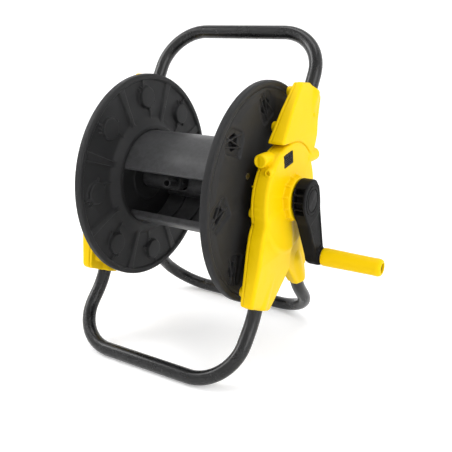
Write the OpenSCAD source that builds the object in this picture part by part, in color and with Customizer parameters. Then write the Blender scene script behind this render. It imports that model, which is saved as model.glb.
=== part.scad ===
// Free-standing garden hose reel: tube frame, two clamshell side brackets, open drum with a crank.
// Millimetres, +Z up. The reel turns about an axis along X. The crank is at +X, the front is -Y.
// Origin on the ground below the centre of the overall box.

/* [Reel] */
// radius of both flanges
flange_r = 145; // [120:1:180]
// free width between the flanges
drum_w = 180; // [140:1:240]
// outer radius of the winding drum
drum_r = 67; // [55:1:75]
// thickness of a flange over its rim
flange_t = 10; // [8:0.5:12]
// height of the reel axis above the ground
axis_h = 227; // [200:1:280]
// shift of the drum towards the crank from the middle of the frame
drum_shift = 8; // [0:1:8]

/* [Frame] */
// outer diameter of the frame tubes
tube_d = 19; // [16:0.5:22]
// wall of the frame tubes
tube_wall = 1.4; // [1:0.1:2]
// centre of the bottom bars from the middle, front and back
foot_y = 129; // [110:1:160]
// height of the centre of the carrying bar
bar_z = 426; // [390:1:480]
// backward lean of the handle posts in degrees
handle_lean = 31.4; // [20:0.1:40]
// lean of the legs inside the brackets in degrees
leg_lean = 26.6; // [15:0.1:35]
// bend radius of the carrying bar
handle_bend = 62; // [45:1:75]
// bend radius of the leg corners
leg_bend = 60; // [45:1:70]

/* [Brackets] */
// radius of the round body of a bracket
body_r = 70; // [60:1:80]
// thickness of the outer shell at its legs
shell_t = 10; // [8:0.5:14]
// height of the round body above the split face
dome_t = 18; // [14:0.5:24]

/* [Crank] */
// distance from the reel axis to the grip axis
crank_r = 92; // [70:1:110]
// angle of the crank from straight down, towards the back
crank_angle = 22; // [0:1:60]
// length of the turning grip
grip_l = 82; // [70:1:110]
// largest diameter of the grip
grip_d = 25; // [22:0.5:30]

/* [Water] */
// outer radius of the stub that the supply hose slides onto
inlet_r = 6.5; // [6:0.1:8]
// outer radius of the stub inside the drum
outlet_r = 6.5; // [6:0.1:8]

/* [Hidden] */
tube_r = tube_d / 2;
gap = 0.3;
run = 0.05;
wall = 3;
fn_big = 96;
fn_mid = 48;
fn_small = 24;
big = 400;

// positions along X, measured from the middle of the frame
flange_in_l = drum_shift - drum_w / 2;
flange_in_r = drum_shift + drum_w / 2;
flange_out_l = flange_in_l - flange_t;
flange_out_r = flange_in_r + flange_t;
tube_x = flange_out_r + 19;
shell_half = 12;
shell_in = tube_x - shell_half;
plate_in = tube_x - 4.5;
leg_slope = 5;
peg_x = tube_x + 1.5;
peg_y = -40;
peg_z = 54;
peg_r = 8.5;
collar_t = 10;
dome_x = tube_x + dome_t;
collar_x = dome_x + collar_t;
crank_x = collar_x + 1.5;
crank_t = 17;
crank_out = crank_x + crank_t;
grip_x0 = crank_out + 3.5;
grip_x1 = grip_x0 + grip_l;
pipe_end = -(collar_x + 24);
elbow_x0 = pipe_end - 12;
elbow_x1 = -(collar_x + 2);
frame_x = -(grip_x1 + elbow_x0) / 2;

// journals and bushes
journal_r = 13;
bush_r = 17;
collar_r = 28;
plate_r = 30;
plate_t = 4;

// tube runs
bar_y = foot_y - 1;
handle_end_z = axis_h + 71;
handle_leg = round((bar_z - handle_end_z) / cos(handle_lean)) - handle_bend;
handle_y0 = bar_y - (handle_leg + handle_bend) * sin(handle_lean);
knee_z = axis_h - 152;
leg_top_z = axis_h - 89;
leg_ref_y = foot_y - 67;
leg_ref_z = axis_h - 139;
leg_top_y = leg_ref_y - (leg_top_z - leg_ref_z) * tan(leg_lean);
knee_y = leg_ref_y + (leg_ref_z - knee_z) * tan(leg_lean);
low_lean = atan2(foot_y - knee_y, knee_z - tube_r);
low_leg = round((knee_z - tube_r) / cos(low_lean) - leg_bend);
stub_leg = round((leg_top_z - knee_z) / cos(leg_lean));
knee_over = 1.3;
stub_less = 0.1;

// screws
screw_r = 2;
screw_hole = 2.15;
screw_head_r = 4;
screw_head_t = 2.2;
bracket_screws = [
  [2, 88], [42, 128], [68, 74], [-54, -10], [54, -10], [-76, -108], [-20, -106], [30, -106]
];
lock_z_handle = axis_h + 112;
lock_y_handle = handle_y0 + (lock_z_handle - handle_end_z) * tan(handle_lean);
lock_z_leg = axis_h - 116;
lock_y_leg = leg_top_y + (leg_top_z - lock_z_leg) * tan(leg_lean);
hub_screw_pcd = 23;
drum_screw_r = drum_r - 7;
drum_boss_r = 5;

// drum plates: angles from the front going up
plate_a0 = 22;
plate_span = 112;
lip_t = 4;
lip_h = 10;

// flange pattern
spokes = 8;
cup_r = 14.5;
cup_rise = 2;
spoke_w = 7;
cone_rise = 5.5;
cone_step = 3;
cup_ring = 113;
root_r = 84;
rim_w = 8;

// turns a solid built along +Z so that it points along +X
module along_x() {
  rotate([0, 90, 0]) children();
}

// moves work drawn about the middle of the frame to its place
module at_frame() {
  translate([frame_x, 0, 0]) children();
}

// moves work drawn about the reel axis to its place
module at_axis() {
  translate([frame_x, 0, axis_h]) children();
}

module rod_x(x0, x1, r, fn = fn_mid) {
  translate([x0, 0, 0]) along_x() cylinder(h = x1 - x0, r = r, $fn = fn);
}

// plate with an outline given as (y, z) and a span along X
module slab_x(x0, x1, pts) {
  translate([x0, 0, 0])
    rotate([90, 0, 90])
      linear_extrude(height = x1 - x0) polygon(pts);
}

// quarter or part bend from +Z towards +X
module bend(radius, turn, r) {
  translate([radius, 0, 0])
    rotate([90, 0, 180])
      rotate_extrude(angle = turn, $fn = fn_big)
        translate([radius, 0]) circle(r = r, $fn = fn_mid);
}

module after_bend(radius, turn) {
  translate([radius * (1 - cos(turn)), 0, radius * sin(turn)])
    rotate([0, turn, 0]) children();
}

// flat U of tube: legs of a given length up from z = 0, two corners and a bar on top
module flat_u(r, leg, radius, extra = 0) {
  for (s = [0, 1]) rotate([0, 0, s * 180]) translate([-tube_x, 0, 0]) {
    translate([0, 0, -extra]) cylinder(h = leg + extra, r = r, $fn = fn_mid);
    translate([0, 0, leg]) bend(radius, 90, r);
  }
  translate([-tube_x + radius, 0, leg + radius])
    along_x() cylinder(h = 2 * (tube_x - radius), r = r, $fn = fn_mid);
}

module handle_path(r, extra = 0) {
  translate([0, handle_y0, handle_end_z])
    rotate([-handle_lean, 0, 0]) flat_u(r, handle_leg, handle_bend, extra);
}

// front legs: a flat U below the knees and two stubs above them
module leg_path(r, extra = 0) {
  translate([0, -knee_y, knee_z])
    rotate([180 - low_lean, 0, 0]) flat_u(r, low_leg, leg_bend, knee_over);
  for (s = [-1, 1]) translate([s * tube_x, -knee_y, knee_z])
    rotate([-leg_lean, 0, 0])
      translate([0, 0, -knee_over]) cylinder(h = stub_leg + knee_over + extra, r = r - stub_less, $fn = fn_mid);
}

// cross holes for the screws that lock a tube in its sockets
module lock_hole(y, z, r = screw_hole) {
  for (s = [-1, 1])
    translate([s * tube_x, y, z])
      along_x() cylinder(h = 60, r = r, center = true, $fn = fn_small);
}

module handle_tube() {
  color([0.09, 0.09, 0.1])
    at_frame() difference() {
      handle_path(tube_r);
      handle_path(tube_r - tube_wall, 1);
      lock_hole(lock_y_handle, lock_z_handle);
    }
}

module front_leg_tube() {
  color([0.09, 0.09, 0.1])
    at_frame() difference() {
      leg_path(tube_r);
      leg_path(tube_r - tube_wall, 1);
      lock_hole(-lock_y_leg, lock_z_leg);
    }
}

module rear_leg_tube() {
  color([0.09, 0.09, 0.1])
    at_frame() mirror([0, 1, 0]) difference() {
      leg_path(tube_r);
      leg_path(tube_r - tube_wall, 1);
      lock_hole(-lock_y_leg, lock_z_leg);
    }
}

// outline of the head above the round body, (y, z) about the axis
module head_outline(inset = 0) {
  polygon([[-31 + inset, 71], [5 + inset, 109 - inset / 2], [41 + inset, 141 - inset],
    [67, 138 - inset], [98 - inset, 119 - inset], [81 - inset, 88], [70 - inset, 56],
    [40, 20], [0, 40], [-8, 69.5]]);
}

// front leg outline, (y, z) about the axis
module front_leg_outline(inset = 0) {
  polygon([[-94 + inset, -121 + inset], [-81 + inset, -55], [-69 + inset, -12], [0, 0],
    [9, -99], [-4 - inset, -114], [-40 - inset, -146 + inset]]);
}

module rear_leg_outline() {
  polygon([[9, -99], [46, -140], [76, -139], [65, -101], [69, -55], [69, -12], [0, 0]]);
}

module rear_leg_wide_outline() {
  polygon([[9, -99], [44, -138], [94, -126], [101, -112], [98, -98], [86, -84], [72, -50],
    [66, -12], [0, 0]]);
}

module extrude_x(x0, x1) {
  translate([x0, 0, 0])
    rotate([90, 0, 90])
      linear_extrude(height = x1 - x0) children();
}

// bulges and bores that follow the three tubes where a bracket holds them
module socket_runs(r) {
  intersection() {
    translate([tube_x, handle_y0, handle_end_z - axis_h])
      rotate([-handle_lean, 0, 0])
        translate([0, 0, 14]) cylinder(h = 80, r = r, $fn = fn_mid);
    extrude_x(tube_x - r - 1, tube_x + r + 1) head_outline(gap);
  }
  translate([0, 0, -axis_h]) {
    for (s = [0, 1]) mirror([0, s, 0])
      translate([tube_x, -leg_top_y, leg_top_z])
        rotate([180 - leg_lean, 0, 0])
          translate([0, 0, 4]) cylinder(h = 51, r = r, $fn = fn_mid);
  }
}

module socket_bores() {
  translate([0, 0, -axis_h]) {
    translate([tube_x, handle_y0, handle_end_z])
      rotate([-handle_lean, 0, 0])
        translate([0, 0, -gap]) cylinder(h = 140, r = tube_r + 0.2, $fn = fn_mid);
    for (s = [0, 1]) mirror([0, s, 0])
      translate([tube_x, -leg_top_y, leg_top_z])
        rotate([180 - leg_lean, 0, 0])
          translate([0, 0, -gap]) cylinder(h = 120, r = tube_r + 0.2, $fn = fn_mid);
  }
}

module lock_points() {
  translate([0, lock_y_handle, lock_z_handle - axis_h]) children();
  translate([0, -lock_y_leg, lock_z_leg - axis_h]) children();
  translate([0, lock_y_leg, lock_z_leg - axis_h]) children();
}

module screw_points() {
  for (p = bracket_screws) translate([0, p[0], p[1]]) children();
}

// right outer shell about the axis, open towards the reel
module outer_shell() {
  difference() {
    union() {
      rod_x(tube_x, dome_x - 3, body_r, fn_big);
      translate([dome_x - 3, 0, 0])
        along_x() cylinder(h = 3, r1 = body_r, r2 = body_r - 3, $fn = fn_big);
      rod_x(dome_x - 1, collar_x, collar_r);
      difference() {
        extrude_x(tube_x, dome_x) head_outline();
        translate([dome_x, -big / 2, 72])
          rotate([0, -8.2, 0]) cube([big, big, big]);
      }
      difference() {
        extrude_x(tube_x, dome_x) front_leg_outline();
        translate([dome_x, -big / 2, -60])
          rotate([0, leg_slope, 0]) translate([0, 0, -big]) cube([big, big, big]);
      }
      extrude_x(tube_x, tube_x + shell_t) rear_leg_outline();
      intersection() {
        socket_runs(tube_r + wall + 0.5);
        translate([tube_x, -big / 2, -big / 2]) cube([big, big, big]);
      }
      intersection() {
        translate([peg_x, peg_y, peg_z])
          rotate([90, 0, 0]) cylinder(h = 19, r = peg_r, $fn = fn_mid);
        translate([tube_x - 7, -big / 2, -big / 2]) cube([big, big, big]);
      }
      translate([tube_x + 12.5, -44, 43])
        rotate([90, 0, 0]) cylinder(h = 15, r = 5, $fn = fn_mid);
      translate([tube_x + 10, 50, 42])
        rotate([-90, 0, 0]) cylinder(h = 34, r = 9, $fn = fn_mid);
    }
    socket_bores();
    rod_x(tube_x - 1, collar_x + 1, bush_r + 0.05);
    difference() {
      rod_x(tube_x - 1, dome_x - wall, 46);
      rod_x(tube_x - 2, dome_x, bush_r + 5);
    }
    difference() {
      rod_x(dome_x - 1.4, collar_x, body_r + 1.6, fn_big);
      rod_x(dome_x - 2, collar_x + 1, body_r, fn_big);
    }
    translate([tube_x - 1, 0, 0]) {
      screw_points() along_x() cylinder(h = shell_t - 1, r = screw_hole, $fn = fn_small);
      lock_points() along_x() cylinder(h = shell_t + 1.5, r = screw_hole, $fn = fn_small);
    }
    translate([tube_x + 12.5, -58, 43])
      rotate([90, 0, 0]) cylinder(h = 4, r = 2.4, $fn = fn_small);
    translate([dome_x - 1.3, -22.2, 43.8]) cube([5, 24.4, 16.4]);
  }
}

// right inner shell about the axis, the plate on the reel side
module inner_shell() {
  difference() {
    union() {
      rod_x(plate_in, tube_x, body_r - 0.6, fn_big);
      extrude_x(plate_in, tube_x) head_outline(0.6);
      extrude_x(plate_in, tube_x) front_leg_outline(0.6);
      extrude_x(plate_in, tube_x) rear_leg_wide_outline();
      rod_x(shell_in, tube_x, 44, fn_big);
      intersection() {
        socket_runs(tube_r + wall + 0.5);
        translate([shell_in, -big / 2, -big / 2]) cube([tube_x - shell_in, big, big]);
      }
      translate([shell_in, 0, 0]) {
        screw_points() along_x() cylinder(h = shell_half, r = screw_head_r + 3, $fn = fn_mid);
        lock_points() along_x() cylinder(h = shell_half, r = screw_head_r + 3, $fn = fn_mid);
      }
    }
    translate([peg_x, peg_y + gap, peg_z])
      rotate([90, 0, 0]) cylinder(h = 40, r = peg_r + gap, $fn = fn_mid);
    socket_bores();
    rod_x(shell_in - 1, tube_x + 1, bush_r + 0.05);
    difference() {
      rod_x(shell_in + wall, tube_x + 1, 40);
      rod_x(shell_in, tube_x + 2, bush_r + 5);
    }
    translate([shell_in - 1, 0, 0]) {
      screw_points() along_x() {
        cylinder(h = shell_half + 2, r = screw_hole, $fn = fn_small);
        cylinder(h = screw_head_t + 1.2, r = screw_head_r + 0.3, $fn = fn_small);
      }
      lock_points() along_x() {
        cylinder(h = shell_half + 2, r = screw_hole, $fn = fn_small);
        cylinder(h = screw_head_t + 1.2, r = screw_head_r + 0.3, $fn = fn_small);
      }
    }
  }
}

// pan-head screw along +X with its head flush at the inner shell
module shell_screw(len) {
  translate([shell_in + 0.2, 0, 0]) along_x() difference() {
    union() {
      cylinder(h = len, r = screw_r, $fn = fn_small);
      cylinder(h = screw_head_t, r = screw_head_r, $fn = fn_small);
    }
    for (a = [0, 90]) rotate([0, 0, a])
      translate([-2.4, -0.5, -1]) cube([4.8, 1, 2]);
  }
}

module right_outer_shell() {
  color([0.95, 0.78, 0.02]) at_axis() outer_shell();
}

module right_inner_shell() {
  color([0.95, 0.78, 0.02]) at_axis() inner_shell();
}

module left_outer_shell() {
  color([0.95, 0.78, 0.02]) at_axis() mirror([1, 0, 0]) outer_shell();
}

module left_inner_shell() {
  color([0.95, 0.78, 0.02]) at_axis() mirror([1, 0, 0]) inner_shell();
}

module right_shell_screws() {
  color([0.6, 0.6, 0.62])
    at_axis() screw_points() shell_screw(shell_half + shell_t - 4);
}

module left_shell_screws() {
  color([0.6, 0.6, 0.62])
    at_axis() mirror([1, 0, 0]) screw_points() shell_screw(shell_half + shell_t - 4);
}

module tube_lock_screws() {
  color([0.6, 0.6, 0.62])
    at_axis() for (s = [0, 1]) mirror([s, 0, 0])
      lock_points() shell_screw(shell_half + shell_t - 1);
}

// dark grille tile set into the round body
module vent_insert() {
  color([0.12, 0.12, 0.13])
    at_axis() difference() {
      translate([dome_x - 1.2, -22, 44]) cube([1.5, 24, 16]);
      for (k = [0:3]) translate([dome_x - 0.4, -20, 46.3 + k * 3.2]) cube([2, 20, 1.6]);
    }
}

module bush() {
  difference() {
    rod_x(shell_in, collar_x, bush_r);
    rod_x(shell_in - 1, collar_x + 1, journal_r + run);
  }
}

module right_bush() {
  color([0.85, 0.85, 0.82]) at_axis() bush();
}

module left_bush() {
  color([0.85, 0.85, 0.82]) at_axis() mirror([1, 0, 0]) bush();
}

// flange about the axis with its outer side at z = 0 and its winding side up
web_z = 2.5;
web_t = 3;
module flange() {
  difference() {
    union() {
      rotate_extrude($fn = fn_big * 2)
        polygon([[10, 0], [34, 0], [36, web_z], [flange_r - rim_w, web_z],
          [flange_r - rim_w + 1.5, 0], [flange_r - 1.5, 0], [flange_r, 1.5],
          [flange_r, flange_t - 1.5], [flange_r - 1.5, flange_t],
          [flange_r - rim_w + 1, flange_t], [flange_r - rim_w, web_z + web_t],
          [root_r + cone_step, web_z + web_t], [drum_r + cone_step + gap, flange_t + cone_rise],
          [drum_r + gap, flange_t + cone_rise], [drum_r + gap, web_z + web_t],
          [36, web_z + web_t], [34, 8], [10, 8]]);
      for (k = [0:spokes - 1]) rotate([0, 0, (k + 0.5) * 360 / spokes])
        translate([root_r - 2, -spoke_w / 2, web_z + 1])
          cube([flange_r - rim_w - root_r + 3, spoke_w, web_t + 1.5]);
      for (k = [0:spokes - 1]) rotate([0, 0, k * 360 / spokes])
        translate([cup_ring, 0, web_z]) cylinder(h = flange_t + cup_rise - web_z, r = cup_r, $fn = fn_mid);
    }
    for (k = [0:spokes - 1]) rotate([0, 0, k * 360 / spokes])
      translate([cup_ring, 0, -1]) cylinder(h = flange_t + 1, r = cup_r - 2.5, $fn = 6);
    for (k = [0:3]) rotate([0, 0, 45 + k * 90])
      translate([hub_screw_pcd, 0, -1]) cylinder(h = flange_t + 2, r = screw_hole, $fn = fn_small);
    for (a = drum_screw_dirs) rotate([0, 0, a])
      translate([drum_screw_r, 0, -1]) {
        cylinder(h = flange_t + 2, r = screw_hole, $fn = fn_small);
      }
  }
}
drum_screw_dirs = [for (a = [plate_a0 + 12, plate_a0 + plate_span - 12, plate_a0 + 192,
  plate_a0 + plate_span + 168]) 270 - a];

module left_flange() {
  color([0.13, 0.13, 0.14])
    at_axis() translate([flange_out_l, 0, 0]) along_x() flange();
}

module right_flange() {
  color([0.13, 0.13, 0.14])
    at_axis() translate([2 * drum_shift, 0, 0]) mirror([1, 0, 0])
      translate([flange_out_l, 0, 0]) along_x() flange();
}

// curved plate of the drum with folded lips and screw bosses
plate_x0 = flange_out_l + web_z + web_t + 0.1;
plate_len = 2 * (drum_shift - plate_x0);
module drum_plate(a0) {
  at_axis() translate([plate_x0, 0, 0]) along_x() difference() {
    union() {
      rotate([0, 0, 270 - a0 - plate_span]) {
        rotate_extrude(angle = plate_span, $fn = fn_big)
          translate([drum_r - wall, 0]) square([wall, plate_len]);
        translate([drum_r - lip_h, -1, 0]) cube([lip_h - 0.4, lip_t, plate_len]);
        rotate([0, 0, plate_span])
          translate([drum_r - lip_h, 1 - lip_t, 0]) cube([lip_h - 0.4, lip_t, plate_len]);
      }
      for (a = [12, plate_span - 12]) rotate([0, 0, 270 - a0 - a])
        translate([drum_screw_r, 0, 0.5]) cylinder(h = plate_len - 1, r = drum_boss_r, $fn = fn_small);
    }
    for (a = [12, plate_span - 12], z = [-1, plate_len - 14]) rotate([0, 0, 270 - a0 - a])
      translate([drum_screw_r, 0, z]) cylinder(h = 15, r = screw_hole, $fn = fn_small);
  }
}

module upper_drum_plate() {
  color([0.14, 0.14, 0.15]) drum_plate(plate_a0);
}

module lower_drum_plate() {
  color([0.14, 0.14, 0.15]) drum_plate(plate_a0 + 180);
}

// pipe branch direction: in the upper half of the front gap
outlet_x = flange_in_l + 66;
gap_mid = plate_a0 - (180 - plate_span) / 2;
branch_a = gap_mid + 22;
module to_branch() {
  translate([outlet_x, 0, 0]) rotate([90 - branch_a, 0, 0]) children();
}
core_x0 = flange_out_l + 8;
core_x1 = flange_out_r - 8;
core_r = 15;
module core_tube() {
  color([0.1, 0.1, 0.11])
    at_axis() difference() {
      rod_x(core_x0, core_x1, core_r);
      rod_x(core_x0 - 1, core_x1 + 1, core_r - wall);
      to_branch() cylinder(h = 40, r = 11, $fn = fn_mid);
    }
}

pipe_r = 8;
pipe_bore = 5.5;
module hub_plate(x0, x1) {
  difference() {
    rod_x(x0, x1, plate_r);
    for (k = [0:3]) rotate([45 + k * 90, 0, 0])
      translate([x0 - 1, hub_screw_pcd, 0])
        along_x() cylinder(h = plate_t + 2, r = screw_hole, $fn = fn_small);
  }
}

module left_hub() {
  color([0.1, 0.1, 0.11])
    at_axis() difference() {
      union() {
        hub_plate(flange_out_l - plate_t, flange_out_l);
        rod_x(-(collar_x + 0.6), flange_out_l, journal_r);
      }
      rod_x(-(collar_x + 2), flange_out_l + 1, pipe_r + 0.15);
    }
}

square_w = 16;
drive_end = crank_out - 7;
module drive_hub() {
  color([0.1, 0.1, 0.11])
    at_axis() difference() {
      union() {
        hub_plate(flange_out_r, flange_out_r + plate_t);
        rod_x(flange_out_r, collar_x + 0.8, journal_r);
        rotate([crank_angle, 0, 0]) translate([collar_x, -square_w / 2, -square_w / 2])
          cube([drive_end - collar_x, square_w, square_w]);
      }
      rod_x(drive_end - 22, drive_end + 1, 2.4, fn_small);
    }
}

// short screw along +Z with its head below z = 0
module short_screw(len) {
  difference() {
    union() {
      cylinder(h = len, r = screw_r, $fn = fn_small);
      translate([0, 0, -screw_head_t]) cylinder(h = screw_head_t, r = screw_head_r, $fn = fn_small);
    }
    for (a = [0, 90]) rotate([0, 0, a])
      translate([-2.4, -0.5, -screw_head_t - 1]) cube([4.8, 1, 2]);
  }
}

module hub_screws() {
  color([0.6, 0.6, 0.62])
    at_axis() {
      translate([flange_out_l - plate_t, 0, 0])
        for (k = [0:3]) rotate([45 + k * 90, 0, 0])
          translate([0, hub_screw_pcd, 0]) along_x() short_screw(11);
      translate([flange_out_r + plate_t, 0, 0]) mirror([1, 0, 0])
        for (k = [0:3]) rotate([45 + k * 90, 0, 0])
          translate([0, hub_screw_pcd, 0]) along_x() short_screw(11);
    }
}

module drum_screws() {
  color([0.6, 0.6, 0.62])
    at_axis() {
      translate([flange_out_l + web_z, 0, 0]) along_x()
        for (a = drum_screw_dirs) rotate([0, 0, a])
          translate([drum_screw_r, 0, 0]) short_screw(14);
      translate([2 * drum_shift, 0, 0]) mirror([1, 0, 0])
        translate([flange_out_l + web_z, 0, 0]) along_x()
          for (a = drum_screw_dirs) rotate([0, 0, a])
            translate([drum_screw_r, 0, 0]) short_screw(14);
    }
}

ring_x = -(collar_x + 6);
oring_xs = [pipe_end + 4, pipe_end + 9];
module water_pipe() {
  color([0.2, 0.2, 0.21])
    at_axis() difference() {
      union() {
        rod_x(pipe_end, outlet_x + 12, pipe_r);
        to_branch() cylinder(h = 22, r = pipe_r, $fn = fn_mid);
      }
      rod_x(pipe_end - 1, outlet_x + 6, pipe_bore);
      to_branch() cylinder(h = 23, r = pipe_bore, $fn = fn_mid);
      for (x = oring_xs) difference() {
        rod_x(x, x + 2, pipe_r + 1);
        rod_x(x - 1, x + 3, 6.5);
      }
      difference() {
        rod_x(ring_x, ring_x + 1.8, pipe_r + 1);
        rod_x(ring_x - 1, ring_x + 3, 7);
      }
    }
}

module outlet_nipple() {
  color([0.16, 0.16, 0.17])
    at_axis() to_branch() difference() {
      union() {
        translate([0, 0, 16.5]) cylinder(h = 15, r = 10, $fn = fn_mid);
        translate([0, 0, 24]) cylinder(h = 5, r = 12, $fn = 6);
        translate([0, 0, 31]) cylinder(h = 20, r = outlet_r, $fn = fn_mid);
      }
      translate([0, 0, 15]) cylinder(h = 9, r = pipe_r + 0.15, $fn = fn_mid);
      translate([0, 0, 15]) cylinder(h = 40, r = 4.5, $fn = fn_mid);
    }
}

module outlet_seal() {
  color([0.05, 0.05, 0.05])
    at_axis() to_branch() translate([0, 0, 22.1]) difference() {
      cylinder(h = 1.8, r = pipe_r, $fn = fn_mid);
      translate([0, 0, -1]) cylinder(h = 4, r = pipe_bore, $fn = fn_mid);
    }
}

// crank parts drawn hanging straight down about the axis
module at_crank() {
  at_axis() rotate([crank_angle, 0, 0]) children();
}

hub_r = 27;
hub_w = 24;
tip_r = 12.5;
cap_r = 19;
spindle_r = 3.5;
module crank_arm() {
  color([0.07, 0.07, 0.08])
    at_crank() difference() {
      union() {
        intersection() {
          union() {
            rod_x(crank_x, crank_out - 2, hub_r);
            translate([crank_out - 2, 0, 0])
              along_x() cylinder(h = 2, r1 = hub_r, r2 = hub_r - 2, $fn = fn_mid);
          }
          translate([crank_x, -hub_w, -hub_r]) cube([crank_t, 2 * hub_w, 2 * hub_r]);
        }
        slab_x(crank_x + 1, crank_out - 1, [[-hub_w, -8], [-tip_r, -crank_r], [tip_r, -crank_r],
          [hub_w, -8]]);
        translate([0, 0, -crank_r]) rod_x(crank_x, crank_out + 2.5, tip_r);
      }
      translate([crank_x - 3, -square_w / 2 - 0.15, -square_w / 2 - 0.15])
        cube([drive_end - crank_x + 3.3, square_w + 0.3, square_w + 0.3]);
      rod_x(crank_x, crank_out + 1, 2.8, fn_small);
      rod_x(drive_end + 2, crank_out + 1, 6, fn_small);
      rod_x(crank_out - 2, crank_out + 1, cap_r + 0.2);
      translate([0, 0, -crank_r]) rod_x(crank_x - 1, crank_out + 3, spindle_r + 0.05, fn_small);
      for (a = [-36, -14, 8, 30]) rotate([a - crank_angle, 0, 0])
        translate([crank_x + 2.5, -hub_r - 4, -3.7]) cube([crank_t - 5.5, 9, 7.4]);
      translate([0, 0, -52]) slab_x(crank_x - 1, crank_out - 4, [[-12, 10], [-6, -26], [6, -26], [12, 10]]);
    }
}

module crank_screw() {
  color([0.6, 0.6, 0.62])
    at_crank() difference() {
      union() {
        rod_x(drive_end - 18, drive_end + 2.1, 2.3, fn_small);
        rod_x(drive_end + 2.1, drive_end + 4.6, 5, fn_small);
      }
      for (a = [0, 90]) rotate([a, 0, 0])
        translate([drive_end + 3.2, -3, -0.6]) cube([2, 6, 1.2]);
    }
}

module crank_cap() {
  color([0.08, 0.08, 0.09])
    at_crank() difference() {
      rod_x(crank_out - 1.9, crank_out + 0.4, cap_r);
      difference() {
        rod_x(crank_out - 0.3, crank_out + 1, cap_r - 4);
        rod_x(crank_out - 1, crank_out + 2, cap_r - 5.2);
      }
    }
}

module grip() {
  color([0.95, 0.78, 0.02])
    at_crank() translate([grip_x0, 0, -crank_r]) along_x()
      rotate_extrude($fn = fn_big)
        polygon([[spindle_r + run, 0], [grip_d / 2 - 1, 0], [grip_d / 2, 1.5],
          [grip_d / 2, grip_l * 0.5], [grip_d / 2 - 0.6, grip_l - 5],
          [grip_d / 2 - 1.6, grip_l - 2], [grip_d / 2 - 3.6, grip_l], [7, grip_l],
          [7, grip_l - 6], [spindle_r + run, grip_l - 6]]);
}

module grip_spindle() {
  color([0.62, 0.62, 0.64])
    at_crank() translate([0, 0, -crank_r]) difference() {
      union() {
        rod_x(crank_x, grip_x1 - 5.7, spindle_r);
        rod_x(grip_x1 - 5.7, grip_x1 - 2.7, 6);
      }
      for (a = [0, 90]) rotate([a, 0, 0])
        translate([grip_x1 - 4, -3.4, -0.7]) cube([2, 6.8, 1.4]);
    }
}

module grip_washer() {
  color([0.7, 0.7, 0.72])
    at_crank() translate([0, 0, -crank_r]) difference() {
      rod_x(crank_out + 2.5, crank_out + 3.2, 9);
      rod_x(crank_out + 2, crank_out + 4, spindle_r + run);
    }
}

elbow_r = 12.5;
branch_x = pipe_end - 1;
module inlet_elbow() {
  color([0.1, 0.1, 0.11])
    at_axis() difference() {
      union() {
        rod_x(elbow_x0 + 2, elbow_x1, elbow_r);
        translate([elbow_x0, 0, 0]) along_x() cylinder(h = 2, r1 = elbow_r - 2, r2 = elbow_r, $fn = fn_mid);
        translate([branch_x, 0, -30]) cylinder(h = 30, r = 9.5, $fn = fn_mid);
      }
      rod_x(pipe_end - 5, elbow_x1 + 1, pipe_r + run);
      translate([branch_x, 0, -31]) cylinder(h = 31, r = 5, $fn = fn_mid);
      translate([branch_x, 0, -31]) cylinder(h = 13, r = 7.1, $fn = fn_mid);
      difference() {
        rod_x(ring_x - 0.1, ring_x + 1.9, 10.2);
        rod_x(ring_x - 1, ring_x + 3, pipe_r);
      }
    }
}

module inlet_orings() {
  color([0.05, 0.05, 0.05])
    at_axis() for (x = oring_xs) difference() {
      rod_x(x + 0.1, x + 1.9, pipe_r + 0.02);
      rod_x(x - 1, x + 3, 6.55);
    }
}

module inlet_ring() {
  color([0.65, 0.65, 0.67])
    at_axis() difference() {
      rod_x(ring_x + 0.2, ring_x + 1.6, 10.1);
      rod_x(ring_x - 1, ring_x + 3, 7 + run);
    }
}

module inlet_nipple() {
  color([0.75, 0.6, 0.25])
    at_axis() translate([branch_x, 0, 0]) difference() {
      union() {
        translate([0, 0, -29.5]) cylinder(h = 11, r = 7, $fn = fn_mid);
        translate([0, 0, -36]) cylinder(h = 5.7, r = 11, $fn = 6);
        translate([0, 0, -31]) cylinder(h = 2, r = 7, $fn = fn_mid);
        translate([0, 0, -62]) cylinder(h = 27, r = inlet_r, $fn = fn_mid);
      }
      translate([0, 0, -63]) cylinder(h = 50, r = 4, $fn = fn_mid);
    }
}

handle_tube();
front_leg_tube();
rear_leg_tube();
right_outer_shell();
right_inner_shell();
left_outer_shell();
left_inner_shell();
right_shell_screws();
left_shell_screws();
tube_lock_screws();
vent_insert();
right_bush();
left_bush();
left_flange();
right_flange();
upper_drum_plate();
lower_drum_plate();
core_tube();
left_hub();
drive_hub();
hub_screws();
drum_screws();
water_pipe();
outlet_nipple();
outlet_seal();
crank_arm();
crank_screw();
crank_cap();
grip();
grip_spindle();
grip_washer();
inlet_elbow();
inlet_orings();
inlet_ring();
inlet_nipple();
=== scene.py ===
import math

import bpy
import numpy as np
from mathutils import Matrix, Vector


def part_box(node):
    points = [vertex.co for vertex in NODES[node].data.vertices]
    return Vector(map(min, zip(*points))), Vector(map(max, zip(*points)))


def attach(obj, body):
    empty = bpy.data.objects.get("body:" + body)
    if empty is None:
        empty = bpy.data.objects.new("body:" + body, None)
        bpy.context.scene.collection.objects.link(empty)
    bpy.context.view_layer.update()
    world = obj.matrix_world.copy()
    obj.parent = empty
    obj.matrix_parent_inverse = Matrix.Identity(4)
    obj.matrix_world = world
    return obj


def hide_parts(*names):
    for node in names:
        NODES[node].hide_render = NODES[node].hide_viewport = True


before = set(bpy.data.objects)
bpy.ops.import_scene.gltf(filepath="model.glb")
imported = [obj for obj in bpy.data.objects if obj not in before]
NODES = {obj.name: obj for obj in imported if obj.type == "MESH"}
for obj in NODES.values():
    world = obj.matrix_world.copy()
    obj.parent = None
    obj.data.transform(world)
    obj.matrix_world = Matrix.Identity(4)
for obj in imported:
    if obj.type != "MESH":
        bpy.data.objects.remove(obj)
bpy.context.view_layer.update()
scene = bpy.context.scene

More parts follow.
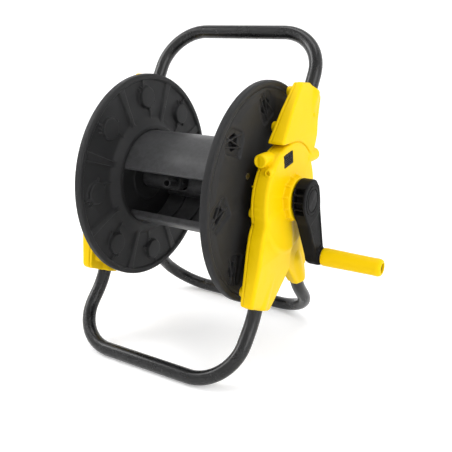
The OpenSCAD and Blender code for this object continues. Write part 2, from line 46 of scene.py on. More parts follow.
# ---------------------------------------------------------------- places, in millimetres
def mid(node):
    lo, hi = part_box(node)
    return (lo + hi) * 500


bush_mid = mid("right_bush")
FX = (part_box("left_bush")[0].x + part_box("right_bush")[1].x) * 500
AX_H = bush_mid.z
TUBE_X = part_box("right_inner_shell")[1].x * 1000 - FX
TUBE_R = 9.5
BODY_R = 70
DOME = 18
COLLAR = 28
CRANK_X0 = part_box("crank_arm")[0].x * 1000 - FX
SHIFT = 8
FLANGE_R = 145


# ---------------------------------------------------------------- distance fields to meshes
def poly(y, z, pts):
    """Signed distance to a closed outline."""
    best = np.full(np.broadcast(y, z).shape, 1e9)
    inside = np.zeros(best.shape, bool)
    n = len(pts)
    for i in range(n):
        ay, az = pts[i]
        by, bz = pts[(i + 1) % n]
        ey, ez = by - ay, bz - az
        wy, wz = y - ay, z - az
        t = np.clip((wy * ey + wz * ez) / (ey * ey + ez * ez), 0, 1)
        best = np.minimum(best, (wy - ey * t) ** 2 + (wz - ez * t) ** 2)
        if az != bz:
            cross = ((az > z) != (bz > z)) & (y < (by - ay) * (z - az) / (bz - az) + ay)
            inside ^= cross
    d = np.sqrt(best)
    return np.where(inside, -d, d)


def rounded(pts, r, n=6):
    """Outline with each corner turned into an arc of radius r, or of its own radius."""
    out = []
    m = len(pts)
    for i in range(m):
        rr = r[i] if isinstance(r, (list, tuple)) else r
        p0, p, p1 = (np.array(pts[(i + k - 1) % m], float) for k in range(3))
        u, v = p0 - p, p1 - p
        lu, lv = np.hypot(*u), np.hypot(*v)
        u, v = u / lu, v / lv
        half = math.acos(max(-1, min(1, float(u @ v)))) / 2
        if rr <= 0 or half > 1.55:
            out.append(tuple(p))
            continue
        cut = min(rr / math.tan(half), lu * 0.48, lv * 0.48)
        a, b = p + u * cut, p + v * cut
        for k in range(n + 1):
            t = k / n
            w = (1 - t) ** 2 * a + 2 * t * (1 - t) * (p * 0.72 + (a + b) * 0.14) + t * t * b
            out.append(tuple(w))
    return out


def both(a, b, r=0.0):
    """Intersection with an edge radius."""
    if r <= 0:
        return np.maximum(a, b)
    return np.minimum(np.maximum(a + r, b + r), 0) + np.hypot(np.maximum(a + r, 0), np.maximum(b + r, 0)) - r


def join(a, b, k=0.0):
    """Union with a blend."""
    if k <= 0:
        return np.minimum(a, b)
    h = np.clip(0.5 + 0.5 * (b - a) / k, 0, 1)
    return b * (1 - h) + a * h - k * h * (1 - h)


def cut(a, b, k=0.0):
    """a without b."""
    return -join(-a, b, k)


def rod(u, v, along, lo, hi, r, edge=0.0):
    """Cylinder of radius r about an axis; u and v are the two distances across it."""
    return both(np.hypot(u, v) - r, np.maximum(lo - along, along - hi), edge)


def block(x, y, z, lo, hi, edge=0.0):
    c = [(a + b) / 2 for a, b in zip(lo, hi)]
    h = [(b - a) / 2 - edge for a, b in zip(lo, hi)]
    q = [abs(p - m) - s for p, m, s in zip((x, y, z), c, h)]
    out = np.sqrt(sum(np.maximum(k, 0) ** 2 for k in q))
    return out + np.minimum(np.maximum(q[0], np.maximum(q[1], q[2])), 0) - edge


def nets(f, lo, hi, step):
    """Vertices and quads of the surface f = 0 inside a box."""
    ax = [np.arange(lo[i] - step, hi[i] + 2 * step, step) + 0.013 * (i + 1) for i in range(3)]
    X, Y, Z = ax[0][:, None, None], ax[1][None, :, None], ax[2][None, None, :]
    F = np.broadcast_to(f(X, Y, Z), tuple(len(a) for a in ax)).astype(np.float32)
    S = F < 0
    corners = [(i, j, k) for i in (0, 1) for j in (0, 1) for k in (0, 1)]
    nx, ny, nz = (s - 1 for s in F.shape)
    count = np.zeros((nx, ny, nz), np.uint8)
    for i, j, k in corners:
        count += S[i:i + nx, j:j + ny, k:k + nz]
    cell = np.argwhere((count > 0) & (count < 8))
    total, weight = np.zeros((len(cell), 3)), np.zeros(len(cell))
    for a in corners:
        for axis in range(3):
            if a[axis]:
                continue
            b = list(a)
            b[axis] = 1
            fa = F[tuple((cell + a).T)]
            fb = F[tuple((cell + b).T)]
            hit = (fa < 0) != (fb < 0)
            t = np.where(hit, fa / np.where(hit, fa - fb, 1), 0)
            p = np.tile(np.array(a, float), (len(cell), 1))
            p[:, axis] = t
            total += p * hit[:, None]
            weight += hit
    local = total / weight[:, None]
    verts = np.stack([ax[i][0] + (cell[:, i] + local[:, i]) * step for i in range(3)], 1)
    index = np.full((nx, ny, nz), -1, np.int64)
    index[tuple(cell.T)] = np.arange(len(cell))
    quads = []
    for axis in range(3):
        b, c = (axis + 1) % 3, (axis + 2) % 3
        s0 = np.take(S, range(0, S.shape[axis] - 1), axis)
        s1 = np.take(S, range(1, S.shape[axis]), axis)
        e = np.argwhere(s0 != s1)
        keep = (e[:, b] > 0) & (e[:, c] > 0) & (e[:, b] < F.shape[b] - 1) & (e[:, c] < F.shape[c] - 1)
        e = e[keep]
        inside_low = s0[tuple(e.T)]
        q = []
        for db, dc in ((-1, -1), (0, -1), (0, 0), (-1, 0)):
            g = e.copy()
            g[:, b] += db
            g[:, c] += dc
            q.append(index[tuple(g.T)])
        q = np.stack(q, 1)
        q[~inside_low] = q[~inside_low][:, ::-1]
        quads.append(q)
    return verts, np.concatenate(quads)


def mesh_of(name, verts, faces, mat, body, hides=(), slot=None, at=(0, 0, 0), flip=False, sharp=None):
    """An object from points in millimetres, riding on a body."""
    v = np.array(verts, float)
    faces = [tuple(reversed(f)) for f in faces] if flip and not isinstance(faces, np.ndarray) else faces
    if flip:
        v[:, 0] *= -1
        if isinstance(faces, np.ndarray):
            faces = faces[:, ::-1]
    v = (v + np.array(at, float)) * 0.001
    me = bpy.data.meshes.new(name)
    me.from_pydata(v.tolist(), [], faces.tolist() if isinstance(faces, np.ndarray) else faces)
    me.validate()
    me.update()
    for p in me.polygons:
        p.use_smooth = True
    if sharp:
        me.set_sharp_from_angle(angle=math.radians(sharp))
    ob = bpy.data.objects.new(name, me)
    scene.collection.objects.link(ob)
    me.materials.append(mat)
    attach(ob, body)
    if hides:
        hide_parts(*hides)
    return ob


def thin(ob, share):
    """Fewer faces where the surface is flat, kept as real mesh."""
    if share >= 1:
        return ob
    m = ob.modifiers.new("thin", "DECIMATE")
    m.ratio = share
    m.use_collapse_triangulate = True
    bake(ob)
    return ob


def bake(ob):
    bpy.context.view_layer.update()
    dg = bpy.context.evaluated_depsgraph_get()
    me = bpy.data.meshes.new_from_object(ob.evaluated_get(dg))
    ob.modifiers.clear()
    old = ob.data
    ob.data = me
    me.name = ob.name
    for p in me.polygons:
        p.use_smooth = True
    bpy.data.meshes.remove(old)
    return ob


def moulded(name, f, lo, hi, step, mat, body, share=0.3, **more):
    verts, quads = nets(f, lo, hi, step * (1))
    return thin(mesh_of(name, verts, quads, mat, body, **more), share)


# ---------------------------------------------------------------- materials
def tree(name):
    m = bpy.data.materials.new(name)
    m.use_nodes = True
    return m, m.node_tree.nodes, m.node_tree.links


def noise(N, L, coord, scale, detail=3.0, rough=0.5, distort=0.0):
    n = N.new("ShaderNodeTexNoise")
    n.inputs["Scale"].default_value = scale
    n.inputs["Detail"].default_value = detail
    n.inputs["Roughness"].default_value = rough
    n.inputs["Distortion"].default_value = distort
    L.new(coord, n.inputs["Vector"])
    return n.outputs["Fac"]


def remap(N, L, value, a, b, lo, hi):
    n = N.new("ShaderNodeMapRange")
    n.inputs["From Min"].default_value = a
    n.inputs["From Max"].default_value = b
    n.inputs["To Min"].default_value = lo
    n.inputs["To Max"].default_value = hi
    L.new(value, n.inputs["Value"])
    return n.outputs["Result"]


def mixed(N, L, fac, a, b):
    n = N.new("ShaderNodeMix")
    n.data_type = "RGBA"
    L.new(fac, n.inputs["Factor"])
    for s, v in ((n.inputs["A"], a), (n.inputs["B"], b)):
        if isinstance(v, tuple):
            s.default_value = (*v, 1)
        else:
            L.new(v, s)
    return n.outputs["Result"]


def bump(N, L, height, distance, strength=1.0, under=None):
    n = N.new("ShaderNodeBump")
    n.inputs["Distance"].default_value = distance
    n.inputs["Strength"].default_value = strength
    L.new(height, n.inputs["Height"])
    if under:
        L.new(under, n.inputs["Normal"])
    return n.outputs["Normal"]


def finish(name, base, other, rough, spec=0.5, metal=0.0, coat=0.0, coat_rough=0.1, patch=14.0, grain=900.0,
           grain_depth=0.00003, wave=22.0, wave_depth=0.0004, edge=None, edge_share=0.5, streak=None, sss=0.0):
    """Moulded, painted or metal surface: two close colours in patches, gloss that varies, grain, soft sink marks,
    and lighter or worn edges."""
    m, N, L = tree(name)
    p = N["Principled BSDF"]
    co = N.new("ShaderNodeTexCoord").outputs["Object"]
    patches = noise(N, L, co, patch, 5, 0.6, 0.4)
    colour = mixed(N, L, remap(N, L, patches, 0.3, 0.7, 0, 1), base, other)
    fine = noise(N, L, co, grain, 2, 0.6)
    mottle = remap(N, L, noise(N, L, co, patch * 7, 4, 0.65), 0.35, 0.7, -0.35, 0.35)
    lo, hi = rough
    gloss = remap(N, L, noise(N, L, co, patch * 2.3, 6, 0.7), 0.28, 0.72, lo, hi)
    add = N.new("ShaderNodeMath")
    add.operation = "MULTIPLY_ADD"
    add.inputs[1].default_value = (hi - lo) * 0.5
    L.new(mottle, add.inputs[0])
    L.new(gloss, add.inputs[2])
    gloss = add.outputs[0]
    if edge:
        g = N.new("ShaderNodeNewGeometry")
        worn = remap(N, L, g.outputs["Pointiness"], 0.52, 0.62, 0, edge_share)
        broken = N.new("ShaderNodeMath")
        broken.operation = "MULTIPLY"
        L.new(worn, broken.inputs[0])
        L.new(remap(N, L, noise(N, L, co, 130, 6, 0.7), 0.4, 0.62, 0.25, 1), broken.inputs[1])
        colour = mixed(N, L, broken.outputs[0], colour, edge)
    L.new(colour, p.inputs["Base Color"])
    L.new(gloss, p.inputs["Roughness"])
    n = bump(N, L, noise(N, L, co, wave, 1.5, 0.5), wave_depth)
    if streak:
        w = N.new("ShaderNodeTexWave")
        w.inputs["Scale"].default_value = streak
        w.inputs["Distortion"].default_value = 6
        w.inputs["Detail"].default_value = 3
        L.new(co, w.inputs["Vector"])
        n = bump(N, L, w.outputs["Fac"], 0.00006, 0.6, n)
    n = bump(N, L, fine, grain_depth, 1.0, n)
    L.new(n, p.inputs["Normal"])
    p.inputs["Metallic"].default_value = metal
    p.inputs["Specular IOR Level"].default_value = spec
    p.inputs["Coat Weight"].default_value = coat
    p.inputs["Coat Roughness"].default_value = coat_rough
    if sss:
        p.inputs["Subsurface Weight"].default_value = sss
        p.inputs["Subsurface Radius"].default_value = (0.004, 0.002, 0.0005)
    return m


YELLOW = finish("yellow_plastic", (0.79, 0.53, 0.0), (0.77, 0.505, 0.0), (0.36, 0.5), spec=0.1, patch=9,
                grain=1400, grain_depth=0.00002, wave=16, wave_depth=0.0005, edge=(0.92, 0.62, 0.005), edge_share=0.3)
BLACK = finish("black_plastic", (0.017, 0.017, 0.0175), (0.023, 0.023, 0.0235), (0.4, 0.54), spec=0.13, patch=11,
               grain=1100, grain_depth=0.00003, wave=20, wave_depth=0.0006, edge=(0.06, 0.06, 0.062), edge_share=0.5)
DARK = finish("dark_plastic", (0.007, 0.007, 0.0072), (0.010, 0.010, 0.0102), (0.38, 0.5), spec=0.03, patch=13,
              grain=1300, grain_depth=0.00002, wave=24, wave_depth=0.0004, edge=(0.05, 0.05, 0.052), edge_share=0.5)
DRUM = finish("drum_plastic", (0.028, 0.028, 0.0285), (0.040, 0.040, 0.041), (0.34, 0.48), spec=0.36, patch=10,
              grain=1000, grain_depth=0.00003, wave=14, wave_depth=0.0008, edge=(0.1, 0.1, 0.105), edge_share=0.5,
              streak=9)
PAINT = finish("tube_paint", (0.006, 0.006, 0.0063), (0.009, 0.009, 0.0093), (0.24, 0.34), spec=0.3, coat=0.12,
               coat_rough=0.16, patch=16, grain=520, grain_depth=0.00004, wave=60, wave_depth=0.00018,
               edge=(0.12, 0.12, 0.12), edge_share=0.25)
STEEL = finish("zinc_steel", (0.55, 0.56, 0.58), (0.45, 0.46, 0.48), (0.24, 0.4), metal=1.0, patch=90, grain=2500,
               grain_depth=0.00002, wave=300, wave_depth=0.00003, edge=(0.8, 0.8, 0.82))
BUSH = finish("acetal", (0.72, 0.71, 0.66), (0.66, 0.65, 0.6), (0.35, 0.48), patch=40, grain=1500, sss=0.1)
RUBBER = finish("rubber", (0.012, 0.012, 0.012), (0.02, 0.02, 0.02), (0.6, 0.75), spec=0.3, patch=60, grain=1800)
DULL = finish("blacked_steel", (0.06, 0.06, 0.063), (0.09, 0.09, 0.093), (0.35, 0.5), metal=1.0, patch=90, grain=2500,
              grain_depth=0.00002, wave=300, wave_depth=0.00003, edge=(0.2, 0.2, 0.2))
BRASS = finish("brass", (0.72, 0.52, 0.22), (0.62, 0.43, 0.17), (0.2, 0.34), metal=1.0, patch=70, grain=2200,
               grain_depth=0.00002, wave=200, wave_depth=0.00004, edge=(0.9, 0.7, 0.35))

LOOK = {}
for n in NODES:
    if n == "grip_spindle":
        LOOK[n] = DULL
    elif "screw" in n or n in ("grip_washer", "inlet_ring"):
        LOOK[n] = STEEL
    elif n in ("right_bush", "left_bush"):
        LOOK[n] = BUSH
    elif n in ("outlet_seal", "inlet_orings"):
        LOOK[n] = RUBBER
    elif n == "inlet_nipple":
        LOOK[n] = BRASS
    elif "shell" in n or n == "grip":
        LOOK[n] = YELLOW
    elif n.endswith("tube") and n != "core_tube":
        LOOK[n] = PAINT
    elif "plate" in n:
        LOOK[n] = DRUM
    elif "crank" in n or n == "vent_insert":
        LOOK[n] = DARK
    else:
        LOOK[n] = BLACK
for n, o in NODES.items():
    for s in o.material_slots:
        s.material = LOOK[n]

# ---------------------------------------------------------------- camera, light, floor
def camera(az, el, focal, place):
    r = Vector((math.cos(az), math.sin(az), 0))
    b = Vector((math.sin(az) * math.cos(el), -math.cos(az) * math.cos(el), math.sin(el)))
    d = bpy.data.cameras.new("view")
    d.sensor_width = 36
    d.lens = 36 * focal / 452
    o = bpy.data.objects.new("view", d)
    scene.collection.objects.link(o)
    m = Matrix((r, b.cross(r), b)).transposed().to_4x4()
    m.translation = Vector(place)
    o.matrix_world = m
    scene.camera = o


camera(math.radians(31.19), math.radians(18.28), 620, (0.4682 + FX / 1000, -0.6969, 0.4411))


def lamp(name, place, aim, size, power, colour=(1, 1, 1)):
    d = bpy.data.lights.new(name, "AREA")
    d.shape = "RECTANGLE"
    d.size, d.size_y = size
    d.energy = power
    d.color = colour
    o = bpy.data.objects.new(name, d)
    o.location = place
    o.rotation_euler = (Vector(aim) - Vector(place)).to_track_quat("-Z", "Y").to_euler()
    scene.collection.objects.link(o)
    return o


lamp("key", (1.7, -0.35, 1.1), (0.1, 0, 0.22), (1.0, 1.2), 12)
lamp("rim", (-1.3, -0.5, 1.1), (-0.1, 0, 0.25), (0.5, 1.0), 12)
lamp("top", (0, 0.2, 1.8), (0, 0, 0.2), (1.3, 0.6), 8.5)
world = bpy.data.worlds.new("studio")
scene.world = world
world.use_nodes = True
world.node_tree.nodes["Background"].inputs[0].default_value = (1, 1, 1, 1)
world.node_tree.nodes["Background"].inputs[1].default_value = 0.5
scene.view_settings.view_transform = "Standard"
scene.view_settings.look = "None"

# pale bowl: a floor that curves up into a round wall, lit a little from itself so that it stays even
floor_mat = finish("floor", (0.88, 0.88, 0.885), (0.90, 0.90, 0.90), (0.5, 0.62), spec=0.2, patch=2, grain=300,
                   wave=4, wave_depth=0.0003)
glow = floor_mat.node_tree.nodes["Principled BSDF"]
glow.inputs["Emission Color"].default_value = (1, 1, 1, 1)
glow.inputs["Emission Strength"].default_value = 0.24
BACK, CURVE, TOP, SIDES = 3.0, 2.0, 5.0, 96
line = [(0.3, 0.0), (BACK - CURVE, 0.0)]
line += [(BACK - CURVE + CURVE * math.sin(a), CURVE - CURVE * math.cos(a)) for a in np.linspace(0.05, math.pi / 2, 24)]
line += [(BACK, TOP)]
turns = [2 * math.pi * k / SIDES for k in range(SIDES)]
fm = bpy.data.meshes.new("floor")
fm.from_pydata([(r * math.cos(a), r * math.sin(a), h) for r, h in line for a in turns], [],
               [(i * SIDES + k, (i + 1) * SIDES + k, (i + 1) * SIDES + (k + 1) % SIDES, i * SIDES + (k + 1) % SIDES)
                for i in range(len(line) - 1) for k in range(SIDES)] + [tuple(range(SIDES))])
for face in fm.polygons:
    face.use_smooth = True
fm.materials.append(floor_mat)
floor = bpy.data.objects.new("floor", fm)
scene.collection.objects.link(floor)

# ---------------------------------------------------------------- pieces
# outlines about the axis, (y, z)
HEAD = rounded([(-31, 71), (5, 109), (41, 141), (67, 138), (98, 119), (81, 88), (70, 56), (40, 20), (0, 40),
                (-8, 69.5)], [3, 40, 4, 4, 5, 16, 20, 0, 0, 0])
LEG = rounded([(-94, -121), (-81, -55), (-69, -12), (0, 0), (9, -99), (-4, -114), (-40, -146)],
              [6, 60, 40, 0, 8, 6, 5])
REAR = rounded([(9, -99), (46, -140), (76, -139), (65, -101), (69, -55), (69, -12), (0, 0)],
               [0, 5, 6, 40, 40, 0, 0])
WIDE = rounded([(9, -99), (44, -138), (94, -126), (101, -112), (98, -98), (86, -84), (72, -50), (66, -12), (0, 0)],
               [0, 5, 8, 6, 10, 14, 30, 0, 0])
LEAN_H, LEAN_L = math.radians(31.4), math.radians(26.6)
SCREWS = [(2, 88), (42, 128), (68, 74), (-54, -10), (54, -10), (-76, -108), (-20, -106), (30, -106)]
LOCKS = [(49.85 + 41 * math.tan(LEAN_H), 112), (-36.96 - 27 * math.tan(LEAN_L), -116),
         (36.96 + 27 * math.tan(LEAN_L), -116)]


def runs(t, y, z, r, extra=0.0):
    """The three tube runs held by a bracket, as capsules, with t measured from their plane."""
    out = None
    for y0, z0, dy, dz, lo, hi in ((49.85, 71, math.sin(LEAN_H), math.cos(LEAN_H), 14, 90),
                                   (-36.96, -89, -math.sin(LEAN_L), -math.cos(LEAN_L), 12, 50),
                                   (36.96, -89, math.sin(LEAN_L), -math.cos(LEAN_L), 12, 50)):
        s = (y - y0) * dy + (z - z0) * dz
        n = (y - y0) * dz - (z - z0) * dy
        over = np.maximum(s - hi - extra, 0) + np.maximum(lo - extra - s, 0)
        d = np.sqrt(t * t + n * n + over * over) - r
        out = d if out is None else np.minimum(out, d)
    return out


def bores(t, y, z):
    out = None
    for y0, z0, dy, dz in ((49.85, 71, math.sin(LEAN_H), math.cos(LEAN_H)),
                           (-36.96, -89, -math.sin(LEAN_L), -math.cos(LEAN_L)),
                           (36.96, -89, math.sin(LEAN_L), -math.cos(LEAN_L))):
        s = (y - y0) * dy + (z - z0) * dz
        n = (y - y0) * dz - (z - z0) * dy
        d = np.maximum(np.hypot(t, n) - TUBE_R - 0.25, -0.3 - s)
        out = d if out is None else np.minimum(out, d)
    return out


VENT = math.radians(9)
PEG_Z = 56


def vent_frame(y, z):
    y, z = y + 13, z - 52
    return y * math.cos(VENT) + z * math.sin(VENT), -y * math.sin(VENT) + z * math.cos(VENT)


def outer_shell(x, y, z):
    t = x - TUBE_X
    rho = np.hypot(y, z)
    body = both(rho - BODY_R, t - DOME, 4.5)
    leg = both(poly(y, z, LEG), (t - (DOME - np.maximum(-68 - z, 0) * 0.1)), 4.5)
    rear = both(poly(y, z, REAR), t - 10, 3)
    head = both(poly(y, z, HEAD), t - (DOME - np.maximum(z - 72, 0) * 0.144), 3.2)
    s = join(join(body, leg, 7), rear, 5)
    groove = np.maximum(np.abs(rho - 70.9) - 0.9, np.maximum(DOME - 2.2 - t, 52 - z - y * 0.45))
    step = np.maximum(np.maximum(np.abs(z - 70.2) - 0.9, y + 6), -6 - t)
    s = join(s, head, 0.6)
    s = cut(s, groove, 1.0)
    s = cut(s, step, 1.0)
    flat = np.minimum(np.minimum(poly(y, z, HEAD), poly(y, z, LEG)), np.minimum(poly(y, z, REAR), rho - BODY_R))
    s = join(s, both(runs(t, y, z, 13.9), flat + 0.4, 2.0), 2.5)
    th = np.arctan2(z, y)
    a = np.mod(th, math.pi / 6) - math.pi / 12
    gusset = np.maximum(np.maximum(np.abs(rho * np.sin(a)) - 1.1, rho - 31 + (t - 18) * 0.3), t - 25)
    s = join(s, both(rho - 28, t - COLLAR, 1.4), 1.6)
    s = join(s, gusset, 0.8)
    s = join(s, both(np.hypot(t - 1.5, z - PEG_Z) - 8.5, np.maximum(-58.6 - y, y + 34), 1.6), 1.2)
    s = join(s, both(np.hypot(t - 12.5, z - 43) - 5, np.maximum(-59 - y, y + 40), 1.4), 1.2)
    s = join(s, both(np.hypot(t - 10, z - 42) - 9, np.maximum(y - 83.6, 46 - y), 3), 1.2)
    s = cut(s, np.hypot(np.hypot(t - 12.5, z - 43), np.maximum(y + 57, 0)) - 2.3, 0.4)
    vy, vz = vent_frame(y, z)
    s = cut(s, np.maximum(block(t, vy, vz, (DOME - 2.7, -12.2, -8.2), (DOME + 5, 12.2, 8.2), 0.4), 0 * t), 0.5)
    ly, lz = LOCKS[0]
    s = cut(s, np.sqrt((t - 16) ** 2 + (y - ly + 8) ** 2 + (z - lz + 15) ** 2) - 3.6, 0.6)
    s = both(s, -t, 0.5)
    peg = both(np.hypot(t - 1.5, z - PEG_Z) - 8.5, np.maximum(np.maximum(-58.6 - y, y + 40), -7 - t), 1.6)
    peg = cut(peg, np.maximum(np.hypot(t - 1.5, z - PEG_Z) - 5.6, y + 57.6), 0.6)
    s = join(s, peg, 0.8)
    s = np.maximum(s, -(rho - 17.1))
    return np.maximum(s, -bores(t, y, z))


def inner_shell(x, y, z):
    t = x - TUBE_X
    rho = np.hypot(y, z)
    flat = np.minimum(np.minimum(poly(y, z, HEAD), poly(y, z, LEG)), np.minimum(poly(y, z, WIDE), rho - BODY_R))
    s = both(flat + 0.6, np.abs(t + 2.25) - 2.25, 1.2)
    s = join(s, both(rho - 44, np.abs(t + 6) - 6, 2), 2)
    s = join(s, both(np.maximum(runs(t, y, z, 13.4), -12 - t), flat + 1, 1.5), 2)
    for py, pz in SCREWS + LOCKS:
        s = join(s, both(np.hypot(y - py, z - pz) - 7, np.abs(t + 6) - 6, 1), 1.5)
    th = np.arctan2(z, y)
    a = np.mod(th, math.pi / 4) - math.pi / 8
    web = np.maximum(np.maximum(np.abs(rho * np.sin(a)) - 1.2, rho - 64), np.abs(t + 5) - 4)
    s = join(s, web, 1)
    s = both(s, np.maximum(t, -12 - t), 0.3)
    for py, pz in SCREWS + LOCKS:
        s = np.maximum(s, -np.maximum(np.hypot(y - py, z - pz) - 4.3, t + 8.6))
        s = np.maximum(s, -(np.hypot(y - py, z - pz) - 2.15))
    s = np.maximum(s, -np.maximum(np.hypot(t - 1.5, z - PEG_Z) - 8.9, y + 39))
    s = np.maximum(s, -(rho - 17.1))
    return np.maximum(s, -bores(t, y, z))


bx = (TUBE_X - 2, -104, -150)
for side in ("right", "left"):
    flip = side == "left"
    moulded(side + "_bracket", outer_shell, (TUBE_X - 8, -98, -150), (TUBE_X + 30, 103, 145), 1.0, YELLOW, "frame",
            share=0.3, hides=(side + "_outer_shell",), slot="yellow", at=(FX, 0, AX_H), flip=flip)
    moulded(side + "_bracket_back", inner_shell, (TUBE_X - 14, -98, -150), (TUBE_X + 1, 105, 145), 1.1, YELLOW,
            "frame", share=0.3, hides=(side + "_inner_shell",), slot="yellow", at=(FX, 0, AX_H), flip=flip)


# grille tile: frame, back plate and slats
def vent(x, y, z):
    t = x - TUBE_X
    vy, vz = vent_frame(y, z)
    s = block(t, vy, vz, (DOME - 2.5, -11.9, -7.9), (DOME - 1.9, 11.9, 7.9), 0.2)
    rim = np.maximum(block(t, vy, vz, (DOME - 2.4, -11.9, -7.9), (DOME + 0.25, 11.9, 7.9), 0.3),
                     -block(t, vy, vz, (DOME - 5, -10.7, -6.7), (DOME + 5, 10.7, 6.7), 0.2))
    k = np.mod(vz + 6.7, 2.68) - 1.34
    bars = np.maximum(np.maximum(np.abs(k) - 0.55, np.abs(vz) - 6.8), np.maximum(np.abs(vy) - 10.8, t - DOME))
    k = np.mod(vy + 10.8, 5.4) - 2.7
    posts = np.maximum(np.maximum(np.abs(np.abs(k) - 2.7) - 0.45, np.abs(vz) - 6.8),
                       np.maximum(np.abs(vy) - 10.8, t - DOME))
    return np.minimum(np.minimum(s, rim), np.maximum(np.minimum(bars, posts), DOME - 2.2 - t))


moulded("grille", vent, (TUBE_X + 15, -28, 41), (TUBE_X + 19, 1, 63), 0.3, BLACK, "frame", share=0.5,
        hides=("vent_insert",), slot="black", at=(FX, 0, AX_H))


# flanges: u runs from the outer side to the winding side
def flange(u, y, z):
    rho = np.hypot(y, z)
    th = np.arctan2(z, -y)
    a = np.mod(th + math.pi / 8, math.pi / 4) - math.pi / 8
    b = np.mod(th, math.pi / 4) - math.pi / 8
    cu, cv = rho * np.cos(a) - 113, rho * np.sin(a)
    ru, rv = rho * np.cos(b), rho * np.sin(b)
    face = 2.2 - 1.4 * np.clip((130 - rho) / 6, 0, 1) * np.clip((np.hypot(cu, cv) - 14) / 10, 0, 1)
    s = np.maximum(rho - 139, np.maximum(u - 6.2, face - u))
    cone = np.maximum((rho - 87 + (u - 5) * 1.3) / 1.64, np.maximum(67.3 - rho, np.maximum(u - 15.5, 3 - u)))
    s = join(s, cone, 2.0)
    s = join(s, both(rho - 34, np.abs(u - 4) - 4, 1), 2)
    s = join(s, both(np.hypot(cu, cv) - 14.5, np.abs(u - 8) - 4, 1.5), 3.0)
    wide = 3.2 + (ru - 84) * 0.045
    s = join(s, np.maximum(np.maximum(np.abs(rv) - wide, np.maximum(70 - ru, ru - 139)),
                           np.maximum(u - (9.6 - (ru - 84) * 0.03), 4 - u)), 2.4)
    s = join(s, np.maximum(np.maximum(np.abs(cv + 7) - 0.8, np.maximum(10 - cu, cu - 25)),
                           np.maximum(u - 9.4 + (cu - 12) * 0.1, 4 - u)), 0.8)
    s = join(s, np.maximum(np.maximum(np.abs(cv - 8) - 0.8, np.maximum(-32 - cu, cu + 9)),
                           np.maximum(u - 8.2, 4 - u)), 0.8)
    s = join(s, both(np.abs(rho - 141) - 4, np.abs(u - 5) - 5, 2.2), 1.6)
    s = cut(s, np.maximum(np.abs(rho - 134.8) - 0.9, u - 3.0 + 0 * rho), 1.2)
    leaf = np.maximum(np.abs(cv * 0.90 + cu * 0.43) - 16.5, np.abs(cu * 0.90 - cv * 0.43) - 20.0)
    leaf = both(leaf, np.hypot(cu + 2, cv + 2) - 22.5, 3.0)
    floor = np.maximum(leaf + np.clip(u - 1.5, 0, 4) * 0.7, u - 3.9 + 0.03 * (cu + cv))
    s = cut(s, floor, 1.0)
    q = np.maximum(np.abs(cv), np.maximum(np.abs(cv * 0.5 + cu * 0.866), np.abs(cv * 0.5 - cu * 0.866)))
    s = cut(s, np.maximum(q - 9.6, u - 10.2), 0.8)
    for k, off in ((0.95, -6), (1.25, 0), (0.65, 5)):
        d = cu * math.cos(k) + cv * math.sin(k) - off
        rib = np.maximum(np.abs(d) - 0.8, np.maximum(leaf + 0.5, np.maximum(2.4 - u, u - 9)))
        s = np.minimum(s, rib)
    return np.maximum(s, 10.2 - rho)


for side, fn in (("left", lambda x, y, z: flange(x + 92, y, z)), ("right", lambda x, y, z: flange(108 - x, y, z))):
    lo = -92 if side == "left" else 98
    moulded(side + "_flange_disc", fn, (lo - (0.5 if side == "left" else 6), -146, -146), (lo + (16 if side == "left" else 10.5), 146, 146), 0.95, BLACK, "reel", share=0.28,
            hides=(side + "_flange",), slot="black", at=(FX, 0, AX_H))


# drum plates: one outline with rolled lips, and screw bosses inside
def prism(outline, x0, x1):
    n = len(outline)
    v = [(x0, y, z) for y, z in outline] + [(x1, y, z) for y, z in outline]
    f = [(i, (i + 1) % n, n + (i + 1) % n, n + i) for i in range(n)]
    return v, f + [tuple(reversed(range(n))), tuple(range(n, 2 * n))]


SPAN = 112


def plate(name, a0):
    pts = []
    a1 = a0 + SPAN

    def at(a, r, off=0.0):
        a = math.radians(a)
        return (-r * math.cos(a) + off * math.sin(a), r * math.sin(a) + off * math.cos(a))

    pts += [at(a0, 57.2, 3), at(a0, 57.2, -0.6), at(a0, 57.8, -1)]
    pts += [at(a0, 64.6, -1), at(a0, 66.0, -0.7), at(a0, 66.7, 0.2)]
    pts += [at(a0 + 1.5 + k * (SPAN - 3) / 64, 67) for k in range(65)]
    pts += [at(a1, 66.7, -0.2), at(a1, 66.0, 0.7), at(a1, 64.6, 1), at(a1, 57.8, 1), at(a1, 57.2, 0.6),
            at(a1, 57.2, -3)]
    pts += [at(a1, 64, -3)] + [at(a1 - 3 - k * (SPAN - 6) / 48, 64) for k in range(49)] + [at(a0, 64, 3)]
    x0, x1 = -86.4, 102.4
    v, f = prism(pts, x0, x1)
    for ang in (a0 + 12, a0 + SPAN - 12):
        cy, cz = at(ang, 60)
        ring = [(cy + 5 * math.cos(k * math.pi / 12), cz + 5 * math.sin(k * math.pi / 12)) for k in range(24)]
        w, g = prism(ring, x0 + 0.6, x1 - 0.6)
        f += [tuple(i + len(v) for i in q) for q in g]
        v += w
    for k in range(5):
        xr = x0 + 30 + k * 32
        arc = [at(a0 + 4 + j * (SPAN - 8) / 24, 64.2) for j in range(25)] + [at(a1 - 4 - j * (SPAN - 8) / 24, 60.5) for j in range(25)]
        w, g = prism(arc, xr, xr + 1.6)
        f += [tuple(i + len(v) for i in q) for q in g]
        v += w
    ob = mesh_of(name, v, f, DRUM, "reel", hides=(("upper" if a0 < 90 else "lower") + "_drum_plate",), slot="black",
                 at=(FX, 0, AX_H), sharp=32)
    fix_normals(ob)
    return ob


def fix_normals(ob):
    import bmesh
    bm = bmesh.new()
    bm.from_mesh(ob.data)
    bmesh.ops.recalc_face_normals(bm, faces=bm.faces)
    bm.to_mesh(ob.data)
    bm.free()


plate("upper_plate", 22)
plate("lower_plate", 202)

